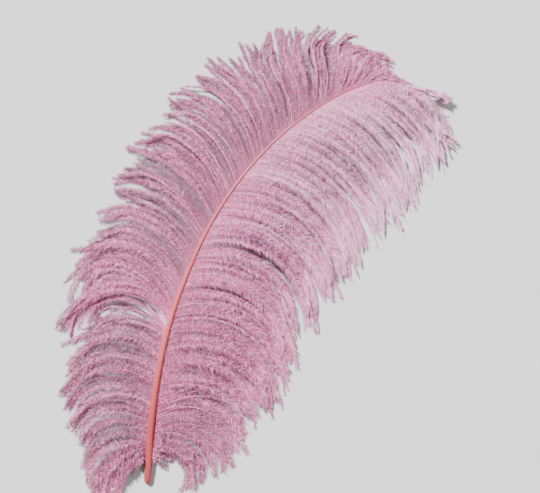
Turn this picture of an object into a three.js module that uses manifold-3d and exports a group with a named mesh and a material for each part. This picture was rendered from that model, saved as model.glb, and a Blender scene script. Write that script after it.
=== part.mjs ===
// One ostrich plume lying on a flat surface with its arched side up.
// Millimetres. +Y runs from the foot of the quill to the tip, +X is the side the tip bends to,
// and +Z is up. The origin is under the middle of the plume, on the surface it lies on.
// The plume grew in one piece, so it is one solid: the quill and the locks of barbs on it.

import * as THREE from 'three';
import { mergeVertices } from 'three/addons/utils/BufferGeometryUtils.js';
import Module from 'manifold-3d';

const { clamp, degToRad, lerp, smoothstep } = THREE.MathUtils;

// ---- driving dimensions ----

const FOOT = new THREE.Vector3(44.75, -176.26, 0); // where the lowest barbs leave the quill
const QUILL_LENGTH = 471; // along the curve, from the foot to the tip
const CALAMUS_LENGTH = 30; // bare stem below the foot
const LOCK_THICKNESS = 4.5; // of a lock of barbs, at its fullest
const TIP_THICKNESS = 2; // of a lock at its tip
const ROOT_SHARE = 0.7; // thickness of a lock's root as a share of the quill's there
const NARROWEST_LOCK = 5; // width of a lock where the barbs lie close along the quill
const LOCK_COVER = 0.9; // share of a lock's pitch that the lock fills
const FLAT_FROM = 0.8; // share of a lock's length after which it lies level
const ARCH = 5; // how far a lock rises above a straight fall from the quill to its tip
const REACH_STEP = 0.05; // by this share, locks in a row of three are each shorter than the last

// A station is a place along the quill: 0 at the foot, 1 at the tip.
// Headings and angles are in degrees, seen from above, counter-clockwise from +X.

const QUILL_HEADINGS = [
  [0, 121.5], [0.1, 117], [0.2, 112.5], [0.3, 105], [0.4, 100.5], [0.5, 92],
  [0.6, 84], [0.7, 74], [0.8, 63.5], [0.88, 49], [0.93, 22], [1, -12],
];
const QUILL_DIAMETERS = [
  [-0.07, 5.6], [-0.03, 7.2], [0, 7.4], [0.12, 6.2], [0.23, 5.2], [0.31, 4], [0.5, 2.9], [0.72, 2], [1, 1],
];
const QUILL_RISES = [
  [-0.07, 2.8], [0, 5.5], [0.12, 12], [0.25, 19], [0.4, 24], [0.55, 26], [0.7, 24.5], [0.85, 19], [1, 12],
];

// Barbs: station, angle at which they leave the quill, heading of their tips, length.
// The left vane is parted, and the barbs above and below the parting lie apart.
const LOW_LEFT_BARBS = [
  [0, 100, 316, 80], [0.03, 70, 312, 86], [0.06, 60, 302, 89], [0.1, 60, 290, 94],
  [0.15, 60, 282, 99], [0.2, 61, 280, 100], [0.236, 62, 282, 92],
];
const HIGH_LEFT_BARBS = [
  [0.24, 46, 296, 124], [0.26, 46, 282, 130], [0.28, 46, 272, 129], [0.3, 47, 266, 121],
  [0.33, 49, 258, 112], [0.36, 51, 247, 105], [0.41, 52, 230, 99], [0.47, 52, 214, 102],
  [0.53, 52, 206, 102], [0.58, 52, 204, 100], [0.63, 52, 202, 104], [0.67, 52, 188, 94],
  [0.72, 50, 180, 84], [0.76, 47, 168, 74], [0.8, 42, 138, 61], [0.83, 38, 100, 51],
  [0.86, 34, 54, 40], [0.89, 28, 4, 33], [0.93, 16, 6, 37], [1, 14, 0, 31],
];
const RIGHT_BARBS = [
  [0, 66, -88, 66], [0.03, 54, -62, 82], [0.06, 50, -44, 106], [0.1, 50, -38, 113], [0.15, 50, -36, 121],
  [0.2, 48, -50, 146], [0.25, 48, -52, 147], [0.33, 48, -52, 140], [0.41, 48, -52, 150],
  [0.5, 48, -50, 149], [0.6, 48, -46, 143], [0.7, 48, -44, 139], [0.76, 46, -42, 134],
  [0.8, 38, -38, 125], [0.84, 28, -36, 110], [0.88, 18, -38, 97], [0.92, 10, -36, 72],
  [0.96, 8, -36, 50], [1, 4, -44, 32],
];

// Towards the quill's tip the locks lie over each other: station, height of a lock's tip.
const TIP_LIFTS = [[0.78, 0], [1, 8]];

// Shape of a lock: share of its length, share of its full width.
const LOCK_WIDTHS = [[0, 1], [0.7, 1], [0.88, 0.8], [1, 0.3]];

// Runs of locks on the left (side 1) and the right (side -1), between two stations.
// A low turn bends the barbs early, a high one late.
const LOCK_RUNS = [
  { side: 1, barbs: LOW_LEFT_BARBS, turn: 1.25, from: 0, to: 0.236, locks: 10 },
  { side: 1, barbs: HIGH_LEFT_BARBS, turn: 1.25, from: 0.24, to: 0.985, locks: 25 },
  { side: -1, barbs: RIGHT_BARBS, turn: 0.9, from: 0, to: 0.985, locks: 30 },
];

const QUILL_SIDES = 8;
const QUILL_STEPS = 30;
const LOCK_SIDES = 6;
const LOCK_STEPS = 7;
const PATH_STEPS = 210;

// ---- curves seen from above ----

// Value at a station in a table whose rows start with their stations.
function lookUp(table, station, column = 1) {
  const last = table.length - 1;
  let row = 1;
  while (row < last && table[row][0] < station) row += 1;
  const [low, high] = [table[row - 1], table[row]];
  const share = clamp((station - low[0]) / (high[0] - low[0]), 0, 1);
  return lerp(low[column], high[column], share);
}

function forward(heading) {
  return new THREE.Vector3(Math.cos(degToRad(heading)), Math.sin(degToRad(heading)), 0);
}

function toRight(heading) {
  return forward(heading - 90);
}

// Points passed on a way that starts at a point and turns as headingAt says.
function walk(start, length, headingAt) {
  const points = [start.clone()];
  for (let step = 0; step < PATH_STEPS; step += 1) {
    const stride = forward(headingAt((step + 0.5) / PATH_STEPS)).multiplyScalar(length / PATH_STEPS);
    points.push(points[step].clone().add(stride));
  }
  return points;
}

// Point at a share of a way.
function pointAlong(path, share) {
  const place = clamp(share, 0, 1) * PATH_STEPS;
  const step = Math.min(Math.floor(place), PATH_STEPS - 1);
  return path[step].clone().lerp(path[step + 1], place - step);
}

const quillHeading = (station) => lookUp(QUILL_HEADINGS, station);
const quillPath = walk(FOOT, QUILL_LENGTH, quillHeading);

// Point of the quill's centre line, also on the straight calamus below station 0.
function quillPoint(station) {
  const beyond = Math.min(station, 0) * QUILL_LENGTH;
  const point = pointAlong(quillPath, station).addScaledVector(forward(quillHeading(0)), beyond);
  return point.setZ(lookUp(QUILL_RISES, station));
}

// ---- solids ----

// Bend a straight bar. ringAt gives, for a share of its length, the centre of the ring there
// and its two half-widths as vectors: across to the right of the way the bar runs, and up.
function bentBar(sides, steps, ringAt) {
  const bar = new THREE.CylinderGeometry(1, 1, 1, sides, steps, false, Math.PI / 2);
  const place = bar.attributes.position;
  for (let index = 0; index < place.count; index += 1) {
    const { centre, across, up } = ringAt(place.getY(index) + 0.5);
    centre.addScaledVector(across, place.getX(index)).addScaledVector(up, place.getZ(index));
    place.setXYZ(index, centre.x, centre.y, centre.z);
  }
  return bar;
}

function makeQuill() {
  return bentBar(QUILL_SIDES, QUILL_STEPS, (share) => {
    const station = lerp(-CALAMUS_LENGTH / QUILL_LENGTH, 1, share);
    const radius = lookUp(QUILL_DIAMETERS, station) / 2;
    return {
      centre: quillPoint(station),
      across: toRight(quillHeading(station)).multiplyScalar(radius),
      up: new THREE.Vector3(0, 0, radius),
    };
  });
}

// The way a barb runs, seen from above: its heading and its points.
function barbWay({ side, barbs, turn }, station) {
  const [leave, tipHeading, reach] = [1, 2, 3].map((column) => lookUp(barbs, station, column));
  const rootHeading = quillHeading(station) + side * leave;
  const headingAt = (share) => lerp(rootHeading, tipHeading, share ** turn);
  return { headingAt, points: walk(quillPoint(station), reach, headingAt) };
}

// One lock of barbs: a flat bar that leaves the quill, falls in an arch and lies level at its tip.
// It fills most of the way between its outermost barbs.
function makeLock(run, index) {
  const pitch = (run.to - run.from) / run.locks;
  const station = run.from + (index + 0.5) * pitch;
  const lowest = barbWay(run, station - pitch / 2);
  const highest = barbWay(run, station + pitch / 2);
  const reach = 1 - REACH_STEP * (index % 3);

  const quillDiameter = lookUp(QUILL_DIAMETERS, station);
  const thicknesses = [
    [0, Math.min(LOCK_THICKNESS, ROOT_SHARE * quillDiameter)],
    [0.25, LOCK_THICKNESS], [FLAT_FROM, LOCK_THICKNESS], [1, TIP_THICKNESS],
  ];
  const rootHeight = lookUp(QUILL_RISES, station);
  const tipLift = lookUp(TIP_LIFTS, station);
  const flatHeight = Math.sin(Math.PI / 3); // of a six-sided ring's flat top, for a radius of 1

  return bentBar(LOCK_SIDES, LOCK_STEPS, (share) => {
    const low = pointAlong(lowest.points, share * reach);
    const high = pointAlong(highest.points, share * reach);
    const centre = low.clone().lerp(high, 0.5);
    // the root starts inside the quill, on its own side of the centre line
    if (share === 0) centre.addScaledVector(toRight(quillHeading(station)), -run.side * quillDiameter / 4);

    const heading = (lowest.headingAt(share * reach) + highest.headingAt(share * reach)) / 2;
    const right = toRight(heading);
    const across = high.sub(low).setZ(0).multiplyScalar(LOCK_COVER * run.side / 2);
    if (across.dot(right) < NARROWEST_LOCK / 2) across.copy(right).multiplyScalar(NARROWEST_LOCK / 2);

    const halfThickness = lookUp(thicknesses, share) / 2;
    const fall = smoothstep(share, 0, FLAT_FROM);
    centre.setZ(lerp(rootHeight, tipLift + halfThickness, fall) + ARCH * Math.sin(Math.PI * fall));
    return {
      centre,
      across: across.multiplyScalar(lookUp(LOCK_WIDTHS, share)),
      up: new THREE.Vector3(0, 0, halfThickness / flatHeight),
    };
  });
}

// ---- join everything that grew together ----

const manifold = await Module();
manifold.setup();

function toSolid(geometry) {
  geometry.deleteAttribute('normal');
  geometry.deleteAttribute('uv');
  const merged = mergeVertices(geometry);
  return new manifold.Manifold(new manifold.Mesh({
    numProp: 3,
    vertProperties: merged.attributes.position.array,
    triVerts: new Uint32Array(merged.index.array),
  }));
}

function toGeometry(solid) {
  const { vertProperties, triVerts } = solid.getMesh();
  const geometry = new THREE.BufferGeometry();
  geometry.setAttribute('position', new THREE.BufferAttribute(vertProperties, 3));
  geometry.setIndex(new THREE.BufferAttribute(triVerts, 1));
  geometry.computeVertexNormals();
  return geometry;
}

let plume = toSolid(makeQuill());
for (const run of LOCK_RUNS) {
  for (let index = 0; index < run.locks; index += 1) plume = plume.add(toSolid(makeLock(run, index)));
}

const dyedPink = new THREE.MeshStandardMaterial({ color: 0xc79aae, roughness: 0.9, metalness: 0 });
const feather = new THREE.Mesh(toGeometry(plume), dyedPink);
feather.name = 'ostrich_feather';

const group = new THREE.Group();
group.add(feather);

export default group;
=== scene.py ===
"""The looks of a dyed ostrich plume on a floor: its quill, and its barbs with their barbules."""

import math

import bpy
import numpy as np
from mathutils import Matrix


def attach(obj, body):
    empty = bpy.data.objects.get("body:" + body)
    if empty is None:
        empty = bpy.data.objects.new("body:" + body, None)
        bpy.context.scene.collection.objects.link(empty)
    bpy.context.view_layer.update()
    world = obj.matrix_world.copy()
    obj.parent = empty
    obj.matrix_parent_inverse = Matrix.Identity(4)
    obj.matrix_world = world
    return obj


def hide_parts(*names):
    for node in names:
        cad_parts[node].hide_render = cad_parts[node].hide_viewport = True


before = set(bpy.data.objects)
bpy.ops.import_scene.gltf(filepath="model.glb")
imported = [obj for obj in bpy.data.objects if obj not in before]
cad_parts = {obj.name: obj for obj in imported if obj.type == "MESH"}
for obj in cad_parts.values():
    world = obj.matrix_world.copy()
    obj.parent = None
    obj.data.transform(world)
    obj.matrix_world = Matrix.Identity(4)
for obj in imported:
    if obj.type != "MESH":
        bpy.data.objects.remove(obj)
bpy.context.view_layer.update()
random = np.random.default_rng(11)

MM = 0.001  # lengths below are in millimetres, and meshes in metres
UP = np.array([0, 0, 1.0])

# ---- the plume's form, as the solid has it ----

FOOT = np.array([44.75, -176.26, 0.0])  # where the lowest barbs leave the quill
QUILL_LENGTH = 471.0  # along the curve, from the foot to the tip
CALAMUS_LENGTH = 30.0  # bare stem below the foot
FLAT_FROM = 0.8  # share of a barb's length after which it lies level
ARCH = 5.0  # how far a barb rises above a straight fall from the quill to its tip
LOCK_THICKNESS = 4.5  # of the solid's locks of barbs, at their fullest
TIP_THICKNESS = 2.0  # of a lock at its tip
PATH_STEPS = 210

# A station is a place along the quill: 0 at the foot, 1 at the tip. Headings and angles are in
# degrees, seen from above, counter-clockwise from +X.
QUILL_HEADINGS = [
    (0, 121.5), (0.1, 117), (0.2, 112.5), (0.3, 105), (0.4, 100.5), (0.5, 92),
    (0.6, 84), (0.7, 74), (0.8, 63.5), (0.88, 49), (0.93, 22), (1, -12),
]
QUILL_DIAMETERS = [
    (-0.07, 5.6), (-0.03, 7.2), (0, 7.4), (0.12, 6.2), (0.23, 5.2), (0.31, 4), (0.5, 2.9),
    (0.72, 2), (1, 1),
]
QUILL_RISES = [
    (-0.07, 2.8), (0, 5.5), (0.12, 12), (0.25, 19), (0.4, 24), (0.55, 26), (0.7, 24.5),
    (0.85, 19), (1, 12),
]
TIP_LIFTS = [(0.78, 0), (1, 8)]  # height of the barbs' tips near the quill's tip

# Barbs: station, angle at which they leave the quill, heading of their tips, length.
LOW_LEFT_BARBS = [
    (0, 100, 316, 80), (0.03, 70, 312, 86), (0.06, 60, 302, 89), (0.1, 60, 290, 94),
    (0.15, 60, 282, 99), (0.2, 61, 280, 100), (0.236, 62, 282, 92),
]
HIGH_LEFT_BARBS = [
    (0.24, 46, 296, 124), (0.26, 46, 282, 130), (0.28, 46, 272, 129), (0.3, 47, 266, 121),
    (0.33, 49, 258, 112), (0.36, 51, 247, 105), (0.41, 52, 230, 99), (0.47, 52, 214, 102),
    (0.53, 52, 206, 102), (0.58, 52, 204, 100), (0.63, 52, 202, 104), (0.67, 52, 188, 94),
    (0.72, 50, 180, 84), (0.76, 47, 168, 74), (0.8, 42, 138, 61), (0.83, 38, 100, 51),
    (0.86, 34, 54, 40), (0.89, 28, 4, 33), (0.93, 16, 6, 37), (1, 14, 0, 31),
]
RIGHT_BARBS = [
    (0, 66, -88, 66), (0.03, 54, -62, 82), (0.06, 50, -44, 106), (0.1, 50, -38, 113),
    (0.15, 50, -36, 121), (0.2, 48, -50, 146), (0.25, 48, -52, 147), (0.33, 48, -52, 140),
    (0.41, 48, -52, 150), (0.5, 48, -50, 149), (0.6, 48, -46, 143), (0.7, 48, -44, 139),
    (0.76, 46, -42, 134), (0.8, 38, -38, 125), (0.84, 28, -36, 110), (0.88, 18, -38, 97),
    (0.92, 10, -36, 72), (0.96, 8, -36, 50), (1, 4, -44, 32),
]

# ---- how barbs lie ----

BARB_PITCH = 2.75  # along the quill
STATION_STEPS = 200  # between which a run's barbs are spread
BARB_STEPS = 40
BARB_SHARES = np.linspace(0, 1, BARB_STEPS + 1)
BUNCH_RANGE = (0.4, 1)  # sizes of clumps and tails, against the most that a run has
CLUMP_RIDGE = 3.0  # how far the middle of a clump of barbs stands above its edges
RIDGE_TOP = 0.7  # share of that by which the middle stands above the clump's level
FULL_CLUMP = 20  # narrower clumps than this have lower ridges
STEEP_CLUMP = 12  # and narrower ones than this have no steeper sides
CLUMP_SHINGLE = 1.5  # how far a clump's upper edge stands above its lower one
VALLEY_DROP = 2.0  # how far barbs lie lower between two clumps
VALLEY_EDGES = (0.18, 0.5)  # shares of a clump's width from its middle, where a valley falls
VALLEY_RANGE = (0.1, 1.1)  # how unequally deep valleys are
SUNK_DROP = 1.6  # how much lower barbs lie that are under the others
SUNK_REACH = 0.93  # which are shorter, too
SUNK_SPACING = 1.6  # and whose barbules stand this many times as far apart
CUT_STRAIGHTENS = 0.7  # a barb that ends early also stops early in its bend, by this share
MOST_RAGGED = 2  # deviations by which a barb is cut short at most
TAIL_PULL = (-0.1, 0.6)  # how far barbs of a tail are drawn to each other
WAVE_SIZES = [(2, 0.6), (0, 0.35), (1, 0.35)]  # of a barb's waves on each axis
LONG_WAVE, SHORT_WAVE = 15, 37  # radians along a barb
SHORT_WAVE_SIZE = 0.45  # against the long one's

# Standard deviations, with angles in degrees.
PLACE_SPREAD = 0.12  # of a barb's place, against the way to the next one
CLUMP_SWING = 0.4  # of a clump's direction, against those of single barbs
CLUMP_STRETCH = 0.015  # of a clump's length
CLUMP_CURL = 6  # of a clump's end
RISE_SPREAD = 0.8  # of the height of a clump, and of a barb
ROLL_SPREAD = 8  # of a barb's turn about its own stem
CLUMP_TONE, BARB_TONE = 0.07, 0.1
CURL_WANDER = (60, 5)  # along the quill: distance between two draws, deviation
TONE_WANDER = (40, 0.05)

# Where along a barb something starts and is complete, as shares of its length.
SWING_SHARES = (0, 0.4)  # its swing aside
CURL_SHARES = (0.6, 1)  # the curl of its end
TAIL_SHARES = (0.5, 1.0)  # its pull to the others of its tail
RISE_SHARES = (0.02, 0.3)  # its rise to its own height
LIFT_SHARES = (0.25, 0.6)  # its rise to its run's lift
WAVE_SHARES = (0.1, 0.5)  # its waves
ROLL_SHARES = (0.05, 0.35)  # its turn about its own stem
VALLEY_STARTS, VALLEY_STOPS = (0.08, 0.35), (0.65, 0.95)  # the shade of a valley
SUNK_SHARES = (0.0, 0.15)  # the shade on a sunk barb
THIN_SHARES = (0.75, 1)  # the shade that shows under a thin end
COMB_SHARES = (0.3, 0.75)  # the end of the shade between two barbs
FLUSH_SHARES = (0.08, 0.5)  # the end of the darker, deeper pink tone near the quill
BARE_SHARES = (0.55, 0.95)  # the loss of barbules at a bare end
SLEEK_SHARES = [(0.2, 0), (0.6, 0.8), (1, 1)]  # and how far sleek barbules lie down there

# How deep the shades are.
SUNK_SHADE = 0.5
THIN_SHADE = 0.22
COMB_SHADE = 0.62  # near the quill, on the ends of barbules
TUFT_SHADE = 0.16  # unequal from tuft to tuft
TILT_SHADE = (45, 0.6)  # on blades that point down: degrees for a full shade, most of it

# ---- stems and barbules ----

RAMUS_RADII = [(0, 0.36), (0.3, 0.26), (1, 0.12)]  # of a barb's own stem, by share of its length
STEM_ANGLES = np.radians([90, 210, 330])  # of the stem's edges
STEM_STEPS = 16
STEM_TONE = 0.03  # how much lighter a stem is than its barbules
BARE_TONE = 0.6  # and where it's bare
BARBULE_PITCH = 0.368  # along each side of a barb
BARBULE_PLACES = (0.1, 0.9)  # where in its pitch a barbule may stand
BARBULE_WIDTH = 0.38
BARBULE_TILT = 4  # degrees over the barb's plane
# Angle between barbules and their stem, by share of the barb's length.
BARBULE_LEANS = [(0, 72), (0.4, 68), (0.65, 58), (0.9, 52), (1, 42)]
LEAST_LEAN = 0.4  # share of that angle which barbules without fluff keep
SLEEK_GRAIN = 0.5  # by this share, barbules that lie down are less unequal in tone
TUFT_LENGTH = 1.2  # barbules stick together in tufts this far apart
TUFT_RANGE = (0.75, 1.25)  # how unequally long tufts are
KNEE_BEND, KNEE_SPREAD = 16, 7  # degrees in the middle of a barbule, to the barb's end
KNEE_WIDTH = 0.8  # of a barbule there, against its root
KNEE_PULL, END_PULL = 0.4, 0.35  # how far a tuft's barbules are drawn together there and beyond
DROOP = 0.12  # downward slope of a barbule's outer half
MOST_TWIST = 1.1  # radians about its own length
SIDE_SHARE = 0.46  # of a barb's row in the UV map, for each side's fringe
ROLL_WAVES = [(12, 14), (7, 5)]  # turns of the fringe: degrees, millimetres for a radian

# Standard deviations among tufts, and among the barbules of a tuft.
TILT_SPREADS = (14, 12)
LEAN_SPREADS = (5, 4)
REACH_SPREADS = (0.12, 0.08)
GRAIN_SPREADS = (1, 0.6)

# A barbule is a blade of two points at its root, two at its knee and one at its end.
BLADE_FRINGE = [0.0, 0.0, 0.5, 0.5, 1.0]  # how far out each lies
BLADE_FACES = [[0, 1, 2], [0, 2, 3], [3, 2, 4]]

LOWEST = 0.15  # nothing of a barb reaches lower over the floor
FLOOR_EASE = 1.2  # height over that below which points are pressed together

# ---- runs of barbs ----

# Runs lie on the left (side 1) and the right (side -1), between two stations. Their lists go by
# station, except lengths.
#   pieces   how many objects the run is split into
#   turn     a low one bends the barbs early, a high one late
#   hooked   share of a barb's length from which its end is turned
#   lengths  of barbules, by share of a barb's length
#   mess     how unruly the barbules are
#   spacing  how far they stand apart, against their pitch
#   grain    how unequal their tones are
#   fluff    how far they stand out
#   sleek    how much they lie along the barb
#   bare     how bare the barbs' ends are
#   ragged   how unequal the barbs' lengths are
#   aim      turn of the whole barb
#   hook     turn of its end
#   stray    how unevenly barbs leave the quill
#   curl     how unevenly they end
#   reach    length, against the solid's
#   lift     height over the solid's
#   sunk     share of the barbs that lie under the others
#   ridge    how far clumps of barbs are arched
#   valley   how deep it is between them, and how much painted shade lies there
#   clump    the most barbs that lie in one clump
#   tail     the most barbs whose ends cling together
#   tone     lightness of the dye, from 0 to LIGHTEST; on the right barbs partly painted light
#   flush    how much darker and deeper pink the tone is near the quill
#   crowd    barbs for each pitch
PLAIN_RUN = {
    "turn": 1, "pieces": 1, "hooked": 0.25, "mess": [(0, 1)], "spacing": [(0, 1)],
    "grain": [(0, 0.28)], "fluff": [(0, 1)], "sleek": [(0, 0)], "bare": [(0, 0)],
    "ragged": [(0, 0.1)], "aim": [(0, 0)], "hook": [(0, 0)], "stray": [(0, 3)], "curl": [(0, 14)],
    "reach": [(0, 1)], "lift": [(0, 0)], "sunk": [(0, 0.2)], "ridge": [(0, 1)], "valley": [(0, 0)],
    "clump": [(0, 3)], "tail": [(0, 2)], "tone": [(0, 0.6)], "flush": [(0, 0)],
}
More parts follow.
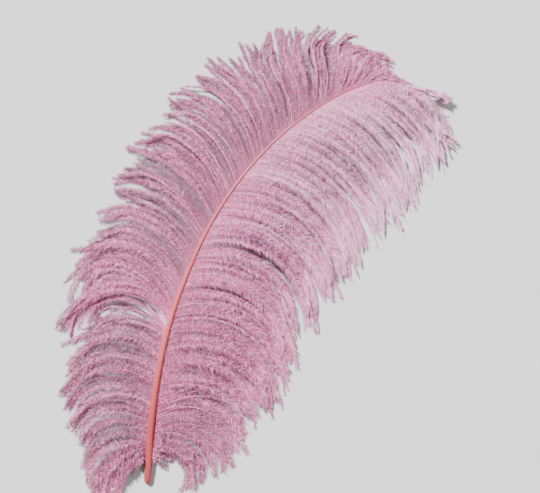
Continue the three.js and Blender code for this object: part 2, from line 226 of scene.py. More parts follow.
RUNS = {
    "low_left_barbs": {
        "side": 1, "barbs": LOW_LEFT_BARBS, "turn": 1.25, "from": 0, "to": 0.236,
        "lengths": [(0, 1.4), (0.06, 2.8), (0.3, 4.8), (0.9, 5.2), (1, 3.6)], "mess": [(0, 1.3)],
        "fluff": [(0.21, 1), (0.236, 0.55)], "aim": [(0.2, 0), (0.236, 6)],
        "stray": [(0, 3), (0.24, 2.5)],
        "reach": [(0, 0.96), (0.05, 1), (0.1, 1.05), (0.16, 1.06), (0.236, 1.03)],
        "valley": [(0, 0.9)], "clump": [(0, 8)], "tail": [(0, 3)], "tone": [(0, 0.4)],
        "crowd": [(0, 1.8), (0.08, 1.3), (0.24, 1.2)],
    },
    "high_left_barbs": {
        "side": 1, "barbs": HIGH_LEFT_BARBS, "turn": 1.25, "from": 0.24, "to": 0.985, "pieces": 3,
        "hooked": 0.5,
        "lengths": [(0, 1.1), (0.1, 1.8), (0.3, 3), (0.5, 4.4), (0.95, 4.8), (1, 3.4)],
        "grain": [(0, 0.37)],
        "fluff": [(0.24, 1), (0.45, 0.95), (0.6, 0.85), (0.75, 0.8), (0.9, 0.75), (1, 0.6)],
        "bare": [(0.74, 0), (0.82, 0.4), (0.93, 0.6), (1, 0.2)],
        "ragged": [(0.3, 0.1), (0.5, 0.14), (0.85, 0.12)],
        "aim": [
            (0.24, -13), (0.27, -6), (0.31, 0), (0.8, 0), (0.86, -4), (0.92, -18), (0.96, -26),
            (1, -26),
        ],
        "hook": [
            (0.24, 52), (0.27, 42), (0.31, 26), (0.36, 8), (0.42, 0), (0.5, 20), (0.62, 6),
            (0.7, -45), (0.8, -110), (0.87, -80), (0.92, 0),
        ],
        "stray": [(0.24, 1.8), (0.4, 1.2), (0.9, 1.4)], "curl": [(0.24, 14), (0.5, 20), (0.9, 18)],
        "reach": [
            (0.24, 0.96), (0.255, 1.04), (0.28, 1.08), (0.34, 1.06), (0.45, 1.1), (0.5, 1.06),
            (0.53, 1.03), (0.57, 1.08), (0.61, 1.02), (0.66, 1.06), (0.7, 1.03), (0.75, 1.14),
            (0.82, 1.16), (0.88, 0.95), (0.94, 0.7),
        ],
        "sunk": [(0.24, 0.08), (0.32, 0.25), (0.45, 0.4), (0.75, 0.4), (0.85, 0.2), (0.93, 0.1)],
        "ridge": [(0.3, 1), (0.5, 0.7), (0.8, 0.5)],
        "valley": [(0.24, 0.6), (0.5, 0.6), (0.75, 0.4), (0.85, 0.15)],
        "clump": [(0.24, 9), (0.4, 8), (0.55, 5), (1, 4)], "tail": [(0.24, 4), (0.5, 2)],
        "tone": [
            (0.24, 0.34), (0.5, 0.13), (0.72, 0.03), (0.82, 0.38), (0.88, 0.72), (0.95, 0.85),
        ],
        "crowd": [(0.24, 1.7), (0.3, 1.5), (0.45, 1.55), (0.8, 1.8), (0.9, 1.5), (1, 1.3)],
    },
    "high_left_ribbons": {
        "side": 1, "barbs": HIGH_LEFT_BARBS, "turn": 1.25, "from": 0.42, "to": 0.86, "hooked": 0.6,
        "lengths": [(0, 0.8), (0.1, 1.4), (0.3, 2.2), (0.5, 3), (0.95, 3.4), (1, 2.8)],
        "fluff": [(0, 0.75)],
        "hook": [(0.42, 10), (0.5, 40), (0.6, 20), (0.7, -50), (0.8, -120), (0.86, -80)],
        "stray": [(0, 4.5)], "curl": [(0, 26)],
        "reach": [(0.42, 1.08), (0.66, 1.05), (0.8, 1.08), (0.86, 1)], "lift": [(0, 1.6)],
        "sunk": [(0, 0)], "clump": [(0, 1)], "tail": [(0, 1)], "tone": [(0, 0.42)],
        "crowd": [(0, 0.3)],
    },
    "right_barbs": {
        "side": -1, "barbs": RIGHT_BARBS, "turn": 0.9, "from": 0, "to": 0.985, "pieces": 4,
        "lengths": [(0, 0.9), (0.06, 2.2), (0.2, 4.2), (0.5, 5.8), (0.9, 6.2), (1, 4.4)],
        "mess": [(0, 0.9), (0.25, 0.65), (0.65, 0.45), (0.9, 0.3)],
        "spacing": [(0, 1.05), (0.6, 1.05), (0.8, 1.2)],
        "grain": [(0, 0.28), (0.3, 0.25), (0.8, 0.28)],
        "sleek": [(0, 0.15), (0.4, 0.3), (0.6, 0.45), (0.75, 0.58), (0.9, 0.62)],
        "bare": [(0.6, 0), (0.8, 0.2)], "aim": [(0.88, 0), (0.94, -8), (1, -10)],
        "stray": [(0, 2.5), (0.3, 1.8), (0.9, 2)], "curl": [(0, 13), (0.7, 13), (0.9, 16)],
        "reach": [
            (0, 1.02), (0.06, 1.02), (0.1, 0.93), (0.2, 0.93), (0.25, 0.95), (0.3, 1.04),
            (0.34, 1.06), (0.37, 0.92), (0.45, 0.96), (0.5, 1.01), (0.57, 1.02), (0.62, 1),
            (0.7, 1.02), (0.8, 0.98), (0.9, 1.04),
        ],
        "sunk": [(0, 0.2), (0.5, 0.15), (0.7, 0.04)],
        "ridge": [(0, 0.7), (0.2, 1), (0.7, 1), (0.9, 0.7)],
        "valley": [(0, 0.4), (0.2, 0.7), (0.7, 0.7), (0.85, 0.6), (1, 0.4)],
        "clump": [(0, 9), (0.8, 9), (1, 6)], "tail": [(0, 4), (0.3, 5)],
        # Tone rises towards the tip partly as the dye's own lightness and partly as painted light
        # on this vane, which slopes away from the key sun.
        "tone": [(0, 0.28), (0.2, 0.42), (0.45, 0.9), (0.65, 1.22), (0.8, 1.36)],
        "flush": [(0, 0.16), (0.4, 0.3), (0.8, 0.4)],
        "crowd": [(0, 1.6), (0.08, 1.25), (0.2, 1.1), (0.7, 1.4), (0.85, 1.8), (1, 1.6)],
    },
    "right_tails": {
        "side": -1, "barbs": RIGHT_BARBS, "turn": 0.85, "from": 0.1, "to": 0.9,
        "lengths": [(0, 0.9), (0.06, 2.2), (0.2, 4.2), (0.5, 5), (0.8, 3.6), (1, 3)],
        "spacing": [(0, 1.3)], "sleek": [(0, 0.1), (0.6, 0.3), (0.9, 0.6)],
        "bare": [(0.1, 0.2), (0.5, 0.3), (0.9, 0.8)], "stray": [(0, 2)], "curl": [(0, 15)],
        "reach": [(0, 1.04)], "tone": [(0.1, 0.5), (0.45, 0.75), (0.9, 1)],
        "crowd": [(0, 0.27), (0.7, 0.27), (0.9, 0.55)],
    },
    "parting_strays": {
        "side": 1, "barbs": [(0.237, 43, 188, 60), (0.25, 39, 150, 54)], "from": 0.237, "to": 0.25,
        "lengths": [(0, 1), (1, 1.6)], "sleek": [(0, 0.3)], "stray": [(0, 7)], "curl": [(0, 35)],
        "lift": [(0, 4)], "sunk": [(0, 0)], "tone": [(0, 1.5)], "crowd": [(0, 3.4)],
    },
    "parting_bridge": {
        "side": 1, "barbs": [(0.237, 56, 308, 104), (0.241, 50, 308, 113)], "turn": 1.5,
        "from": 0.237, "to": 0.241,
        "lengths": [(0, 0.3), (0.34, 0.5), (0.46, 4.2), (0.9, 4.6), (1, 3)], "mess": [(0, 1.8)],
        "ragged": [(0, 0.2)], "stray": [(0, 3)], "curl": [(0, 34)], "lift": [(0, -1.5)],
        "sunk": [(0, 0.3)], "tone": [(0, 0.4)], "crowd": [(0, 9)],
    },
    "parting_fingers": {
        "side": 1, "barbs": [(0.242, 30, 290, 128), (0.264, 32, 292, 138)], "turn": 0.85,
        "from": 0.242, "to": 0.264,
        "lengths": [(0, 0.6), (0.3, 2), (0.6, 4.2), (0.95, 3.4), (1, 2)], "ragged": [(0, 0.05)],
        "stray": [(0, 1.5)], "curl": [(0, 16)], "sunk": [(0, 0)], "tail": [(0, 3)],
        "tone": [(0, 0.5)], "crowd": [(0, 3)],
    },
    "parting_fluff": {
        "side": 1, "barbs": [(0.228, 60, 262, 84), (0.236, 58, 256, 92)], "turn": 1.2,
        "from": 0.228, "to": 0.236,
        "lengths": [(0, 0.5), (0.45, 1), (0.6, 3.4), (0.9, 3.6), (1, 2.4)], "mess": [(0, 2)],
        "spacing": [(0, 1.6)], "fluff": [(0, 0.9)], "stray": [(0, 7)], "curl": [(0, 40)],
        "lift": [(0, -1.5)], "sunk": [(0, 0.5)], "tone": [(0, 0.45)], "crowd": [(0, 5)],
    },
    "foot_left_barbs": {
        "side": 1, "barbs": [(-0.004, 118, 306, 66), (0.014, 96, 314, 78)], "turn": 0.9,
        "from": -0.004, "to": 0.014, "lengths": [(0, 1.4), (0.1, 3), (0.3, 4.8), (1, 4)],
        "mess": [(0, 1.6)], "stray": [(0, 7)], "curl": [(0, 20)], "tone": [(0, 0.5)],
        "crowd": [(0, 9)],
    },
    "foot_right_barbs": {
        "side": -1, "barbs": [(-0.004, 112, 264, 46), (0.012, 84, 268, 60)], "turn": 0.8,
        "from": -0.004, "to": 0.012, "lengths": [(0, 1.2), (0.1, 2.6), (0.3, 4.2), (1, 3.4)],
        "mess": [(0, 1.6)], "stray": [(0, 6)], "curl": [(0, 22)], "tone": [(0, 0.5)],
        "crowd": [(0, 4)],
    },
    "foot_fluff_left": {
        "side": 1, "barbs": [(-0.012, 118, 250, 24), (0.02, 80, 260, 30)], "from": -0.012,
        "to": 0.02, "lengths": [(0, 1), (0.3, 3.6), (1, 3)], "mess": [(0, 2)], "stray": [(0, 16)],
        "curl": [(0, 50)], "lift": [(0, 1)], "tone": [(0, 0.5)], "crowd": [(0, 2.6)],
    },
    "foot_fluff_right": {
        "side": -1, "barbs": [(-0.012, 96, -10, 22), (0.02, 66, 0, 28)], "from": -0.012,
        "to": 0.02, "lengths": [(0, 1), (0.3, 3.6), (1, 3)], "mess": [(0, 2)], "stray": [(0, 16)],
        "curl": [(0, 50)], "lift": [(0, 1)], "tone": [(0, 0.5)], "crowd": [(0, 2.6)],
    },
    "low_right_stems": {
        "side": -1, "barbs": [(0, 58, -52, 92), (0.06, 50, -38, 106), (0.12, 50, -34, 112)],
        "turn": 1.2, "from": 0, "to": 0.12, "lengths": [(0, 0.6), (0.7, 1.1), (1, 0.9)],
        "spacing": [(0, 3)], "sleek": [(0, 0.8)], "stray": [(0, 7)], "curl": [(0, 18)],
        "lift": [(0, 2)], "tail": [(0, 1)], "tone": [(0, 0.5)], "crowd": [(0, 0.8)],
    },
    "tip_bunch": {
        "side": -1, "barbs": [(0.915, 18, 36, 55), (0.95, 2, 32, 42)], "turn": 1.3, "from": 0.915,
        "to": 0.95, "hooked": 0.7,
        "lengths": [(0, 1), (0.4, 2), (0.55, 4.6), (0.96, 4.8), (1, 1.6)], "mess": [(0, 0.4)],
        "grain": [(0, 0.14)], "sleek": [(0, 0.2)], "ragged": [(0, 0.04)], "hook": [(0, -34)],
        "stray": [(0, 1)], "curl": [(0, 8)], "reach": [(0, 0.95)], "lift": [(0, 1)],
        "sunk": [(0, 0)], "tail": [(0, 5)], "tone": [(0, 1.15)], "crowd": [(0, 2.2)],
    },
    "tip_strays": {
        "side": -1, "barbs": [(0.935, 8, -48, 64), (0.95, 18, -44, 60), (0.965, 22, 26, 40)],
        "turn": 1.3, "from": 0.935, "to": 0.965, "lengths": [(0, 0.6), (0.5, 1.6), (1, 1.6)],
        "stray": [(0, 3)], "curl": [(0, 10)], "lift": [(0, 1)], "tone": [(0, 1)],
        "crowd": [(0, 1.7)],
    },
}

# ---- curves ----


def look_up(table, station, column=1):
    rows = np.array(table, float)
    return np.interp(station, rows[:, 0], rows[:, column])


def forward(heading):
    angle = np.radians(heading)
    return np.stack([np.cos(angle), np.sin(angle), np.zeros_like(angle)], -1)


def smooth(share, low=0.0, high=1.0):
    part = np.clip((share - low) / (high - low), 0, 1)
    return part * part * (3 - 2 * part)


def unit(vectors):
    return vectors / np.linalg.norm(vectors, axis=-1, keepdims=True)


def walk(starts, lengths, headings):
    """Points of ways that start at starts and have one heading for each of their steps."""
    strides = forward(headings) * (lengths / headings.shape[-1])[..., None, None]
    passed = np.cumsum(strides, axis=-2)
    passed = np.concatenate([np.zeros_like(passed[..., :1, :]), passed], axis=-2)
    return starts[..., None, :] + passed


def quill_heading(station):
    return look_up(QUILL_HEADINGS, station)


quill_shares = (np.arange(PATH_STEPS) + 0.5) / PATH_STEPS
quill_path = walk(FOOT, np.array(QUILL_LENGTH), quill_heading(quill_shares))


def quill_point(station):
    station = np.asarray(station, float)
    knots = np.linspace(0, 1, PATH_STEPS + 1)
    point = np.stack([np.interp(station, knots, quill_path[:, axis]) for axis in range(3)], -1)
    point += forward(quill_heading(0)) * (np.minimum(station, 0) * QUILL_LENGTH)[..., None]
    point[..., 2] = look_up(QUILL_RISES, station)
    return point


def way_length(way):
    return np.linalg.norm(np.diff(way, axis=0), axis=1).sum()


def resample(way, places):
    """Points and forward directions at distances along a way."""
    strides = np.diff(way, axis=0)
    reached = np.concatenate([[0], np.cumsum(np.linalg.norm(strides, axis=1))])
    points = np.stack([np.interp(places, reached, way[:, axis]) for axis in range(3)], -1)
    turning = np.gradient(way, axis=0)
    ahead = np.stack([np.interp(places, reached, turning[:, axis]) for axis in range(3)], -1)
    return points, unit(ahead)


# ---- barbs ----


def barb_ways(run, stations, swing, stretch, curl, cut):
    """Ways of the barbs at stations, each swung aside, stretched, curled at its tip and cut."""
    leave, tip, reach = (look_up(run["barbs"], stations, column) for column in (1, 2, 3))
    root = quill_heading(stations) + run["side"] * leave
    share = ((np.arange(BARB_STEPS) + 0.5) / BARB_STEPS)[None, :]
    bent = (share * (1 - CUT_STRAIGHTENS * cut[:, None])) ** run["turn"]
    headings = root[:, None] + (tip - root)[:, None] * bent
    headings = headings + swing[:, None] * smooth(share, *SWING_SHARES)
    headings = headings + curl[:, None] * smooth(share, *CURL_SHARES)
    headings = headings + look_up(run["aim"], stations)[:, None]
    headings = headings + look_up(run["hook"], stations)[:, None] * smooth(share, run["hooked"], 1)
    return walk(quill_point(stations), reach * stretch * (1 - cut), headings)


def barb_heights(stations, share):
    """Height of a lock's middle over the floor."""
    root = look_up(QUILL_RISES, stations)[:, None]
    lift = look_up(TIP_LIFTS, stations)[:, None]
    thicknesses = [(0, LOCK_THICKNESS), (FLAT_FROM, LOCK_THICKNESS), (1, TIP_THICKNESS)]
    thickness = look_up(thicknesses, share)[None, :]
    fall = smooth(share, 0, FLAT_FROM)[None, :]
    return root + (lift + thickness / 2 - root) * fall + ARCH * np.sin(np.pi * fall)


def wander(stations, scale, amount):
    """A smooth random value along the quill."""
    knots = np.arange(-1, QUILL_LENGTH / scale + 2)
    draws = random.normal(0, 1, len(knots))
    return amount * np.interp(stations * QUILL_LENGTH / scale, knots, draws)


def gather(most, stations):
    """Numbers of the bunches that neighbouring barbs fall into, none larger than most says."""
    number, first = np.zeros(len(stations), int), 0
    while first < len(stations):
        number[first:] += first > 0
        largest = float(look_up(most, stations[first]))
        first += max(1, round(random.uniform(*BUNCH_RANGE) * largest))
    return number


def place_barbs(run):
    """Stations of a run's barbs, with as many for each pitch as its crowd says."""
    knots = np.linspace(run["from"], run["to"], STATION_STEPS)
    crowd = look_up(run["crowd"], knots)
    filled = np.cumsum(crowd)
    filled = (filled - filled[0]) / (filled[-1] - filled[0])
    length = (run["to"] - run["from"]) * QUILL_LENGTH
    count = round(length / BARB_PITCH * crowd.mean())
    places = (np.arange(count) + 0.5 + random.normal(0, PLACE_SPREAD, count)) / count
    return np.interp(places, filled, knots)


def make_barbs(run):
    """The middle lines of a run's barbs, in millimetres, with what else their fringes need."""
    stations = place_barbs(run)
    count = len(stations)
    share = BARB_SHARES

    def at(label):
        return look_up(run[label], stations)

    clump = gather(run["clump"], stations)
    clumps = clump.max() + 1
    middles = np.array([stations[clump == number].mean() for number in range(clumps)])
    spans = np.array([np.ptp(stations[clump == number]) for number in range(clumps)])
    spans += (run["to"] - run["from"]) / count

    swing = random.normal(0, CLUMP_SWING, clumps) * look_up(run["stray"], middles)
    stretch = random.normal(1.0, CLUMP_STRETCH, clumps)
    sunk = random.uniform(0, 1, count) < at("sunk")
    shorter = at("ragged") * np.abs(random.normal(0, 1, count)).clip(0, MOST_RAGGED)
    curl = random.normal(0, CLUMP_CURL, clumps) + wander(middles, *CURL_WANDER)
    ways = barb_ways(
        run, stations,
        swing[clump] + random.normal(0, 1, count) * at("stray"),
        stretch[clump] * at("reach"),
        curl[clump] + random.normal(0, 1, count) * at("curl"),
        1 - (1 - shorter) * np.where(sunk, SUNK_REACH, 1),
    )
    tail = gather(run["tail"], stations)
    joined = np.array([ways[tail == number].mean(0) for number in range(tail.max() + 1)])[tail]
    pull = random.uniform(*TAIL_PULL, count)[:, None, None]
    ways = ways + (joined - ways) * (smooth(share, *TAIL_SHARES)[None, :, None] * pull)
    ways[..., 2] = barb_heights(stations, share)

    # across a clump, from -0.5 at its lower edge to 0.5 at its upper one
    across = (stations - middles[clump]) / spans[clump]
    widths = spans[clump] * QUILL_LENGTH
    rise = random.normal(0, RISE_SPREAD, clumps)[clump] + random.normal(0, RISE_SPREAD, count)
    ridge = CLUMP_RIDGE * at("ridge")
    arch = ridge * (RIDGE_TOP - 4 * across**2) * np.minimum(widths / FULL_CLUMP, 1)
    rise += arch + CLUMP_SHINGLE * across
    slope = (CLUMP_SHINGLE - ridge * 8 * across) / np.maximum(widths, STEEP_CLUMP)
    roll = run["side"] * np.degrees(np.arctan(slope)) + random.normal(0, ROLL_SPREAD, count)
    valley = smooth(np.abs(across), *VALLEY_EDGES) * random.uniform(*VALLEY_RANGE, clumps)[clump]
    valley *= at("valley")
    rise -= VALLEY_DROP * valley + SUNK_DROP * sunk
    lift = at("lift")[:, None] * smooth(share, *LIFT_SHARES)
    ways[..., 2] += rise[:, None] * smooth(share, *RISE_SHARES) + lift

    # Painted shade: the colour is darkened towards SHADE in the valleys between clumps, on sunk
    # barbs and at thin ends, where shadow falls.
    crescent = smooth(share, *VALLEY_STARTS) * (1 - smooth(share, *VALLEY_STOPS))
    painted_shade = valley[:, None] * crescent + SUNK_SHADE * sunk[:, None] * smooth(share, *SUNK_SHARES)
    painted_shade = np.clip(painted_shade + THIN_SHADE * smooth(share, *THIN_SHARES), 0, 1)
    phase = random.uniform(0, 2 * np.pi, (count, 4))
    for axis, size in WAVE_SIZES:
        wave = np.sin(share[None] * LONG_WAVE + phase[:, axis, None])
        wave += SHORT_WAVE_SIZE * np.sin(share[None] * SHORT_WAVE + phase[:, 3, None])
        ways[..., axis] += size * wave * smooth(share, *WAVE_SHARES)

    tone = random.normal(0, CLUMP_TONE, clumps)[clump] + random.normal(0, BARB_TONE, count)
    tone += wander(stations, *TONE_WANDER)
    tone += at("tone")
    looks = {label: at(label) for label in ("fluff", "bare", "sleek", "mess", "grain", "flush")}
    looks["pitch"] = BARBULE_PITCH * at("spacing") * np.where(sunk, SUNK_SPACING, 1)
    looks |= {"way": ways, "tone": tone, "roll": roll, "painted_shade": painted_shade}
    return [
        {"lengths": run["lengths"], **{label: values[index] for label, values in looks.items()}}
        for index in range(count)
    ]


# ---- meshes ----


class Mesh:
    """Points, faces and per-point values gathered for one piece."""

    def __init__(self):
        self.points, self.triangles, self.values, self.marks = [], [], [], []
        self.count = 0

    def add(self, points, triangles, values, marks):
        self.points.append(points)
        self.triangles.append(triangles + self.count)
        self.values.append(values)
        self.marks.append(marks)
        self.count += len(points)


def tube_sides(rings, sides):
    """Triangles between the rings of a tube."""
    start = np.arange(rings - 1)[:, None] * sides
    here = (start + np.arange(sides)).ravel()
    beside = (start + np.roll(np.arange(sides), -1)).ravel()
    return np.concatenate([
        np.stack([here, beside, beside + sides], 1),
        np.stack([here, beside + sides, here + sides], 1),
    ])


def above_floor(heights):
    """Heights with those near the floor pressed together just over it."""
    over = heights - LOWEST
    pressed = FLOOR_EASE * np.exp(np.minimum(over / FLOOR_EASE - 1, 0))
    return np.where(over > FLOOR_EASE, heights, LOWEST + pressed)


def add_stem(mesh, barb, row):
    """A barb's own stem, a thin three-sided tube."""
    way = barb["way"]
    share = np.linspace(0, 1, STEM_STEPS + 1)
    points, ahead = resample(way, share * way_length(way))
    right = unit(np.cross(ahead, UP))
    over = np.cross(right, ahead)
    radius = look_up(RAMUS_RADII, share)[:, None]
    ring = points[:, None] + radius[:, None] * (
        right[:, None] * np.cos(STEM_ANGLES)[None, :, None]
        + over[:, None] * np.sin(STEM_ANGLES)[None, :, None]
    )
    ring[..., 2] = above_floor(ring[..., 2])
    sides = len(STEM_ANGLES)
    along = np.repeat(share, sides)
    tone = barb["tone"] + STEM_TONE + BARE_TONE * barb["bare"] * smooth(along, *BARE_SHARES)
    tone -= barb["flush"] * (1 - smooth(along, *FLUSH_SHARES))
    # The stem carries its barb's painted shade.
    painted_shade = np.interp(along, BARB_SHARES, barb["painted_shade"])
    mesh.add(
        ring.reshape(-1, 3), tube_sides(STEM_STEPS + 1, sides),
        np.stack([along, np.zeros(len(along)), tone, painted_shade], 1),
        np.stack([along, np.full(len(along), row + 0.5)], 1),
    )


def tufted(tuft, tufts, spreads, middle=0):
    """A random value for each barbule, in part the same for those of one tuft."""
    shared, own = spreads
    return middle + random.normal(0, shared, tufts)[tuft] + random.normal(0, own, len(tuft))


def add_barbules(mesh, barb, row):
    """The fringe on both sides of a barb: thin blades that lean to its tip, in small tufts."""
    way = barb["way"]
    total = way_length(way)
    roll_phase = random.uniform(0, 2 * np.pi, len(ROLL_WAVES))
    for side in (1, -1):
        count = int(total / barb["pitch"])
        places = (np.arange(count) + random.uniform(*BARBULE_PLACES, count)) / count * total
        share = places / total
        points, ahead = resample(way, places)
        level = unit(np.cross(ahead, UP))
        steep = np.cross(level, ahead)
        sway = sum(
            size * np.sin(places / span + phase)
            for (size, span), phase in zip(ROLL_WAVES, roll_phase)
        )
        rolled = barb["roll"] * smooth(share, *ROLL_SHARES) + barb["mess"] * sway
        rolled = np.radians(rolled)[:, None]
        right = level * np.cos(rolled) + steep * np.sin(rolled)
        over = steep * np.cos(rolled) - level * np.sin(rolled)

        tufts = int(1.3 * total / TUFT_LENGTH) + 4  # more than the barb has room for
        tuft_ends = np.cumsum(random.uniform(*TUFT_RANGE, tufts)) * TUFT_LENGTH
        tuft = np.searchsorted(tuft_ends, places)
        tuft_middle = (np.concatenate([[0], tuft_ends[:-1]]) + tuft_ends) / 2
        drawn = (tuft_middle[tuft] - places)[:, None] * ahead

        tilt = BARBULE_TILT + barb["mess"] * tufted(tuft, tufts, TILT_SPREADS)
        # Painted shade on each barbule: its barb's, more on blades that point down, and unequal
        # from tuft to tuft.
        barbule_shade = np.interp(share, BARB_SHARES, barb["painted_shade"])
        barbule_shade = barbule_shade + np.clip(-tilt / TILT_SHADE[0], 0, TILT_SHADE[1])
        barbule_shade += TUFT_SHADE * barb["mess"] * np.abs(random.normal(0, 1, tufts))[tuft]
        tilt = np.radians(tilt)[:, None]
        outward = side * right * np.cos(tilt) + over * np.sin(tilt)
        laid = barb["sleek"] * look_up(SLEEK_SHARES, share)
        raised = LEAST_LEAN + (1 - LEAST_LEAN) * barb["fluff"]
        lean = look_up(BARBULE_LEANS, share) * raised * (1 - laid)
        lean += barb["mess"] * tufted(tuft, tufts, LEAN_SPREADS)
        lean = np.radians(lean)[:, None]
        reach = look_up(barb["lengths"], share) * barb["fluff"]
        reach = reach * (1 - barb["bare"] * smooth(share, *BARE_SHARES))
        reach = reach * tufted(tuft, tufts, REACH_SPREADS, 1)
        half = (0.5 * reach)[:, None]

        first = ahead * np.cos(lean) + outward * np.sin(lean)
        bend = lean - np.radians(KNEE_BEND + random.normal(0, KNEE_SPREAD, tufts)[tuft])[:, None]
        second = unit(ahead * np.cos(bend) + outward * np.sin(bend) - UP * DROOP)
        knee = points + first * half + KNEE_PULL * drawn
        end = knee + second * half + END_PULL * drawn
        twist = random.uniform(-MOST_TWIST, MOST_TWIST, count)[:, None]
        flat = unit(np.cross(first, over))
        broad = (flat * np.cos(twist) + over * np.sin(twist)) * (0.5 * BARBULE_WIDTH)
        slim = broad * KNEE_WIDTH
        blade = np.stack([points - broad, points + broad, knee + slim, knee - slim, end], 1)
        blade[..., 2] = above_floor(blade[..., 2])
        first_point = np.arange(count)[:, None] * len(BLADE_FRINGE)
        triangles = np.concatenate([first_point + face for face in BLADE_FACES])

        along = np.repeat(share, len(BLADE_FRINGE))
        fringe = np.tile(BLADE_FRINGE, count)
        painted_shade = np.repeat(barbule_shade, len(BLADE_FRINGE))
        # More painted shade on the ends of barbules near the quill, in the shadow between two
        # barbs.
        painted_shade = painted_shade + COMB_SHADE * fringe**2 * (1 - smooth(along, *COMB_SHARES))
        grain = barb["grain"] * (1 - SLEEK_GRAIN * laid)
        tone = barb["tone"] + grain * tufted(tuft, tufts, GRAIN_SPREADS)
        tone -= barb["flush"] * (1 - smooth(share, *FLUSH_SHARES))
        tone = np.repeat(tone, len(BLADE_FRINGE))
        mesh.add(
            blade.reshape(-1, 3), triangles,
            np.stack([along, fringe, tone, np.clip(painted_shade, 0, 1)], 1),
            np.stack([along, row + 0.5 + SIDE_SHARE * side * fringe], 1),
        )


def build_piece(name, mesh, rows, material):
    points = np.concatenate(mesh.points) * MM
    triangles = np.concatenate(mesh.triangles)
    values = np.concatenate(mesh.values)
    marks = np.concatenate(mesh.marks)
    data = bpy.data.meshes.new(name)
    data.vertices.add(len(points))
    data.vertices.foreach_set("co", points.astype(np.float32).ravel())
    data.loops.add(triangles.size)
    data.loops.foreach_set("vertex_index", triangles.astype(np.int32).ravel())
    data.polygons.add(len(triangles))
    data.polygons.foreach_set("loop_start", np.arange(0, triangles.size, 3, dtype=np.int32))
    data.update(calc_edges=True)
    for column, label in enumerate(("along", "fringe", "tone", "painted_shade")):
        layer = data.attributes.new(label, "FLOAT", "POINT")
        layer.data.foreach_set("value", values[:, column].astype(np.float32))
    spread = data.uv_layers.new(name="OFBake")
    corners = marks[triangles.ravel()] / [1.0, rows]
    spread.data.foreach_set("uv", corners.astype(np.float32).ravel())
    data.materials.append(material)
    piece = bpy.data.objects.new(name, data)
    bpy.context.scene.collection.objects.link(piece)
    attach(piece, "root")
    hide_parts("ostrich_feather")
    return piece


# ---- materials ----

LIGHTEST = 1.5  # the tone that has the dye's lightest colour
BARB_DYES = [  # by tone
    (0.0, (0.42, 0.085, 0.2)), (0.3, (0.82, 0.135, 0.39)), (0.67, (1.0, 0.41, 0.7)),
    (1.0, (1.0, 0.62, 0.81)),
]
# Paler ends of barbs and barbules: partly their own paler colour, partly a painted highlight on
# the fringe.
FROST = (1.0, 0.64, 0.8)  # the ends of barbs and barbules are paler
FROST_SHARE = 0.14  # of each
SHADE = (0.11, 0.09, 0.1)  # between barbs
SHADE_SHARE = 0.86  # at its deepest
CLOUDS = (90, 3)  # scale and detail of uneven dye and roughness
BARB_GRAIN = (2500, 2)  # and of the barbs' bump
BARB_BUMP = (0.15, 0.0001)  # strength, and distance in metres
BARB_LIGHTNESS = (0.86, 1.12)
BARB_ROUGHNESS = (0.62, 0.85)
THROUGH_SHARE = 0.14  # of the light that barbs let through
QUILL_DYES = [  # by share of the quill's length
    (0.0, (0.38, 0.05, 0.055)), (0.1, (0.42, 0.055, 0.062)), (0.3, (0.62, 0.095, 0.115)),
    (0.6, (0.47, 0.08, 0.12)), (0.85, (0.38, 0.062, 0.11)), (1.0, (0.54, 0.16, 0.26)),
]
QUILL_LIGHTNESS = (0.85, 1.1)
QUILL_ROUGHNESS = (0.28, 0.5)
QUILL_BUMP = (0.2, 0.0002)
STREAKS = (1, 4)
STREAK_SCALES = (1500, 90, 1500)  # the quill's streaks run along it


def new_material(name):
    material = bpy.data.materials.new(name)
    material.use_nodes = True
    nodes = material.node_tree.nodes
    nodes.clear()
    return material, nodes, material.node_tree.links


def ramp(nodes, links, place, stops):
    """Colours by a value from 0 to 1."""
    node = nodes.new("ShaderNodeValToRGB")
    elements = node.color_ramp.elements
    while len(elements) < len(stops):
        elements.new(0.5)
    for element, (position, colour) in zip(elements, stops):
        element.position = position
        element.color = (*colour, 1)
    links.new(place, node.inputs["Fac"])
    return node.outputs["Color"]


def read(nodes, label):
    node = nodes.new("ShaderNodeAttribute")
    node.attribute_name = label
    return node.outputs["Fac"]


def noise(nodes, links, place, scale, detail):
    node = nodes.new("ShaderNodeTexNoise")
    node.inputs["Scale"].default_value = scale
    node.inputs["Detail"].default_value = detail
    links.new(place, node.inputs["Vector"])
    return node.outputs["Fac"]


def stretched(nodes, links, value, low, high, full=1.0):
    """A value from 0 to full, stretched to go from low to high."""
    node = nodes.new("ShaderNodeMapRange")
    node.inputs["From Max"].default_value = full
    node.inputs["To Min"].default_value = low
    node.inputs["To Max"].default_value = high
    links.new(value, node.inputs["Value"])
    return node.outputs["Result"]


def times(nodes, links, value, factor, more=None):
    """A value times a factor, and more added to it if there is more."""
    node = nodes.new("ShaderNodeMath")
    node.operation = "MULTIPLY" if more is None else "MULTIPLY_ADD"
    node.inputs[1].default_value = factor
    links.new(value, node.inputs[0])
    if more is not None:
        links.new(more, node.inputs[2])
    return node.outputs["Value"]


def blended(nodes, links, colour, other, share):
    """A colour with a share of another one."""
    node = nodes.new("ShaderNodeMix")
    node.data_type = "RGBA"
    node.inputs["B"].default_value = (*other, 1)
    links.new(share, node.inputs["Factor"])
    links.new(colour, node.inputs["A"])
    return node.outputs["Result"]


def lightened(nodes, links, colour, lightness):
    node = nodes.new("ShaderNodeHueSaturation")
    links.new(lightness, node.inputs["Value"])
    links.new(colour, node.inputs["Color"])
    return node.outputs["Color"]


def bumped(nodes, links, height, strength, distance):
    node = nodes.new("ShaderNodeBump")
    node.inputs["Strength"].default_value = strength
    node.inputs["Distance"].default_value = distance
    links.new(height, node.inputs["Height"])
    return node.outputs["Normal"]


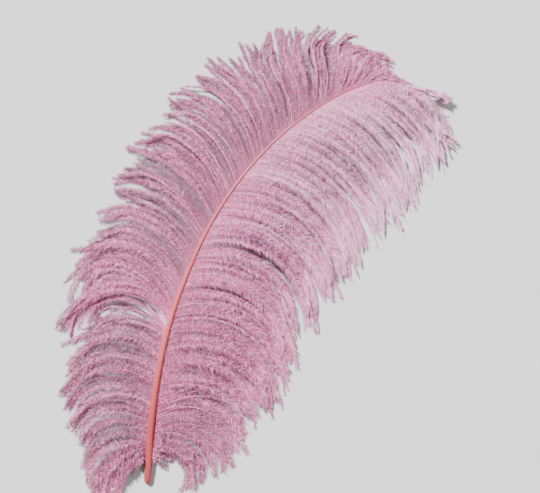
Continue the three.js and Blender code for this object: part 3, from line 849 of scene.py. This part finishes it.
def barb_material():
    material, nodes, links = new_material("dyed_barbs")
    place = nodes.new("ShaderNodeTexCoord").outputs["Object"]
    cloud = noise(nodes, links, place, *CLOUDS)
    grain = noise(nodes, links, place, *BARB_GRAIN)

    tone = stretched(nodes, links, read(nodes, "tone"), 0.0, 1.0, LIGHTEST)
    dye = ramp(nodes, links, tone, BARB_DYES)
    # Paler ends: partly their own colour, partly a painted highlight.
    fade = stretched(nodes, links, read(nodes, "along"), 0.0, FROST_SHARE)
    frost = times(nodes, links, read(nodes, "fringe"), FROST_SHARE, fade)
    colour = blended(nodes, links, dye, FROST, frost)
    colour = lightened(nodes, links, colour, stretched(nodes, links, cloud, *BARB_LIGHTNESS))
    # Painted shade: the colour goes towards SHADE by the painted shade that the points carry.
    painted_shade_mix = times(nodes, links, read(nodes, "painted_shade"), SHADE_SHARE)
    colour = blended(nodes, links, colour, SHADE, painted_shade_mix)

    shader = nodes.new("ShaderNodeBsdfPrincipled")
    roughness = stretched(nodes, links, cloud, *BARB_ROUGHNESS)
    links.new(colour, shader.inputs["Base Color"])
    links.new(roughness, shader.inputs["Roughness"])
    shader.inputs["Sheen Weight"].default_value = 0.15
    shader.inputs["Sheen Roughness"].default_value = 0.5
    shader.inputs["Specular IOR Level"].default_value = 0.2
    links.new(bumped(nodes, links, grain, *BARB_BUMP), shader.inputs["Normal"])
    through = nodes.new("ShaderNodeBsdfTranslucent")
    links.new(colour, through.inputs["Color"])
    both = nodes.new("ShaderNodeMixShader")
    both.inputs["Fac"].default_value = THROUGH_SHARE
    links.new(shader.outputs["BSDF"], both.inputs[1])
    links.new(through.outputs["BSDF"], both.inputs[2])
    output = nodes.new("ShaderNodeOutputMaterial")
    links.new(both.outputs["Shader"], output.inputs["Surface"])
    return material


def quill_material():
    material, nodes, links = new_material("dyed_quill")
    stretch = nodes.new("ShaderNodeMapping")
    stretch.inputs["Scale"].default_value = STREAK_SCALES
    place = nodes.new("ShaderNodeTexCoord")
    links.new(place.outputs["Object"], stretch.inputs["Vector"])
    streak = noise(nodes, links, stretch.outputs["Vector"], *STREAKS)

    dye = ramp(nodes, links, read(nodes, "along"), QUILL_DYES)
    lightness = stretched(nodes, links, streak, *QUILL_LIGHTNESS)
    roughness = stretched(nodes, links, streak, *QUILL_ROUGHNESS)
    shader = nodes.new("ShaderNodeBsdfPrincipled")
    links.new(lightened(nodes, links, dye, lightness), shader.inputs["Base Color"])
    links.new(roughness, shader.inputs["Roughness"])
    shader.inputs["Subsurface Weight"].default_value = 0.15
    shader.inputs["Subsurface Scale"].default_value = 0.002
    links.new(bumped(nodes, links, streak, *QUILL_BUMP), shader.inputs["Normal"])
    output = nodes.new("ShaderNodeOutputMaterial")
    links.new(shader.outputs["BSDF"], output.inputs["Surface"])
    return material


# ---- the quill ----

QUILL_RINGS = 220
QUILL_SIDES = 20
END_ROUNDING = 3.0  # length over which the lower end is rounded
END_SHARE = 0.02  # of the first ring, square of its share of the radius
END_REACHES = (0.2, 1.0)  # how far the middles of the two end faces stand out
RING_LOWEST, END_LOWEST = 0.02, 0.05  # heights over the floor
GROOVE_DEPTH = 0.16  # share of the radius
GROOVE_WIDTH = 0.3  # radians
GROOVE_SHARES = (0.05, 0.4)  # stations between which the groove gets its full depth


def make_quill(material):
    """A tapering shaft with a shallow groove along its upper side and a rounded lower end."""
    low = -CALAMUS_LENGTH / QUILL_LENGTH
    station = low + (1 - low) * np.linspace(0, 1, QUILL_RINGS)
    centre = quill_point(station)
    ahead = unit(np.gradient(centre, axis=0))
    right = unit(np.cross(ahead, UP))
    over = np.cross(right, ahead)
    radius = look_up(QUILL_DIAMETERS, station) / 2
    from_end = (station - low) * QUILL_LENGTH
    radius = radius * np.sqrt(np.clip(from_end / END_ROUNDING, END_SHARE, 1))
    angle = np.linspace(0, 2 * np.pi, QUILL_SIDES, endpoint=False)
    groove = GROOVE_DEPTH * smooth(station, *GROOVE_SHARES)[:, None]
    groove = groove * np.exp(-((angle[None] - np.pi / 2) / GROOVE_WIDTH) ** 2)
    spread = radius[:, None] * (1 - groove)
    ring = centre[:, None] + (spread * np.cos(angle))[..., None] * right[:, None]
    ring = ring + (spread * np.sin(angle))[..., None] * over[:, None]
    ring[..., 2] = np.maximum(ring[..., 2], RING_LOWEST)
    ends = np.stack([
        centre[0] - ahead[0] * END_REACHES[0], centre[-1] + ahead[-1] * END_REACHES[1],
    ])
    ends[:, 2] = np.maximum(ends[:, 2], END_LOWEST)
    points = np.concatenate([ring.reshape(-1, 3), ends])

    around = np.arange(QUILL_SIDES)
    beside = np.roll(around, -1)
    last = (QUILL_RINGS - 1) * QUILL_SIDES
    caps = np.concatenate([
        np.stack([beside, around, np.full(QUILL_SIDES, len(points) - 2)], 1),
        np.stack([last + around, last + beside, np.full(QUILL_SIDES, len(points) - 1)], 1),
    ])
    triangles = np.concatenate([tube_sides(QUILL_RINGS, QUILL_SIDES), caps])
    share = np.append(np.repeat(np.linspace(0, 1, QUILL_RINGS), QUILL_SIDES), [0, 1])
    turned = np.append(np.tile(around / QUILL_SIDES, QUILL_RINGS), [0.5, 0.5])
    mesh = Mesh()
    values = np.stack([share, turned, np.full(len(share), 0.5), share], 1)
    mesh.add(points, triangles, values, np.stack([share, turned], 1))
    piece = build_piece("quill", mesh, 1, material)
    piece.data.polygons.foreach_set("use_smooth", np.ones(len(piece.data.polygons), bool))


# ---- build ----

barb_dye = barb_material()
make_quill(quill_material())

for name, own in RUNS.items():
    run = {**PLAIN_RUN, **own}
    barbs = make_barbs(run)
    for part, group in enumerate(np.array_split(np.arange(len(barbs)), run["pieces"])):
        mesh = Mesh()
        for row, index in enumerate(group):
            add_stem(mesh, barbs[index], row)
            add_barbules(mesh, barbs[index], row)
        label = f"{name}_{part + 1}" if run["pieces"] > 1 else name
        build_piece(label, mesh, len(group), barb_dye)

# ---- stage, light and camera ----

MM_PER_PIXEL = 0.9
PHOTO_SIZE = (540, 493)
FOOT_PIXEL = (148.5, 453)
ROLL = 35  # the photo's right is this heading
PLUME_HEIGHT = 12.0  # the middle of the plume's depth, where the photo's scale holds
LENS = 100
SENSOR = 36
CLIP_END = 100  # metres
FLOOR_REACH = 30.0  # metres from the floor's middle to each side
FLOOR_COLOUR = (0.6, 0.595, 0.59)
FLOOR_ROUGHNESS = 0.8
SKY_COLOUR = (0.94, 0.95, 1.0)
SKY_RISE = (0.02, 0.3)  # of a direction, between which the sky gets dimmer
SKY_POWER = (0.62, 0.18)  # behind the floor's far edge and overhead
KEY_SUN = {"heading": ROLL + 128, "elevation": 46, "softness": 6, "power": 10.8}
FILL_SUN = {"heading": ROLL - 10, "elevation": 55, "softness": 40, "power": 1.1}


def photo_place(across, down):
    """Point of the floor plane that the photo shows at a pixel."""
    right = (across - FOOT_PIXEL[0]) * MM_PER_PIXEL
    up = (FOOT_PIXEL[1] - down) * MM_PER_PIXEL
    return FOOT + forward(ROLL) * right + forward(ROLL + 90) * up


def add_sun(name, heading, elevation, softness, power):
    data = bpy.data.lights.new(name, "SUN")
    data.angle = math.radians(softness)
    data.energy = power
    light = bpy.data.objects.new(name, data)
    light.rotation_euler = (0, math.radians(90 - elevation), math.radians(heading))
    bpy.context.scene.collection.objects.link(light)


floor_corners = [(-1, -1), (1, -1), (1, 1), (-1, 1)]
floor_points = [(x * FLOOR_REACH, y * FLOOR_REACH, 0) for x, y in floor_corners]
floor_data = bpy.data.meshes.new("floor")
floor_data.from_pydata(floor_points, [], [(0, 1, 2, 3)])
floor = bpy.data.objects.new("floor", floor_data)
bpy.context.scene.collection.objects.link(floor)
floor_material, floor_nodes, floor_links = new_material("pale_floor")
floor_shader = floor_nodes.new("ShaderNodeBsdfPrincipled")
floor_shader.inputs["Base Color"].default_value = (*FLOOR_COLOUR, 1)
floor_shader.inputs["Roughness"].default_value = FLOOR_ROUGHNESS
floor_out = floor_nodes.new("ShaderNodeOutputMaterial")
floor_links.new(floor_shader.outputs["BSDF"], floor_out.inputs["Surface"])
floor_data.materials.append(floor_material)

add_sun("key", **KEY_SUN)
add_sun("fill", **FILL_SUN)

world = bpy.data.worlds.new("studio")
world.use_nodes = True
world_nodes, world_links = world.node_tree.nodes, world.node_tree.links
sky = world_nodes["Background"]
sky.inputs["Color"].default_value = (*SKY_COLOUR, 1)
direction = world_nodes.new("ShaderNodeTexCoord")
parts = world_nodes.new("ShaderNodeSeparateXYZ")
glow = world_nodes.new("ShaderNodeMapRange")
glow.inputs["From Min"].default_value, glow.inputs["From Max"].default_value = SKY_RISE
glow.inputs["To Min"].default_value, glow.inputs["To Max"].default_value = SKY_POWER
world_links.new(direction.outputs["Generated"], parts.inputs["Vector"])
world_links.new(parts.outputs["Z"], glow.inputs["Value"])
world_links.new(glow.outputs["Result"], sky.inputs["Strength"])
bpy.context.scene.world = world

camera_data = bpy.data.cameras.new("camera")
camera_data.lens = LENS
camera_data.sensor_width = SENSOR
camera_data.clip_end = CLIP_END
camera = bpy.data.objects.new("camera", camera_data)
middle = photo_place(PHOTO_SIZE[0] / 2, PHOTO_SIZE[1] / 2)
distance = PHOTO_SIZE[0] * MM_PER_PIXEL * LENS / SENSOR
camera.location = (middle[0] * MM, middle[1] * MM, (PLUME_HEIGHT + distance) * MM)
camera.rotation_euler = (0, 0, math.radians(ROLL))
bpy.context.scene.collection.objects.link(camera)
bpy.context.scene.camera = camera
